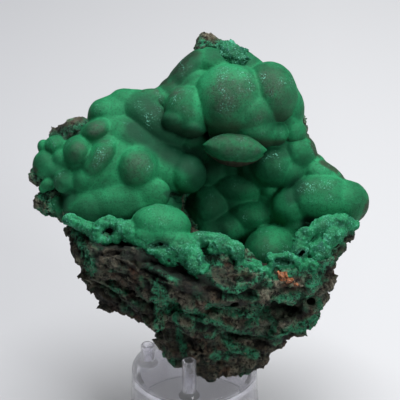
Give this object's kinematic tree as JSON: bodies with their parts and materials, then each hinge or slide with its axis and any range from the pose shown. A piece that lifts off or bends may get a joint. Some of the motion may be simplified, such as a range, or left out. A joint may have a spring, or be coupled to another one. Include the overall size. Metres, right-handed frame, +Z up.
{
  "type": "malachite specimen",
  "caption": "Botryoidal malachite with a ball-lined hollow on dark vuggy host rock, resting on a clear moulded peg display stand",
  "frame": {"origin": "on the surface the stand rests on, under the middle of the whole object's box", "axes": "+Z is up, -Y is the side with the open malachite-lined hollow, +X is to the right seen from that side"},
  "size_m": [0.1334, 0.0805, 0.1526],
  "materials": {
    "malachite": "velvety matte green balls with pale druse specks and dusty tops",
    "host_rock": "rough dark olive-brown rock, pitted, with green stains",
    "clear_plastic": "clear, glossy, faint violet edges"
  },
  "bodies": {
    "root": {"malachite_specimen": "malachite", "peg_stand": "clear_plastic"}
  },
  "joints": []
}
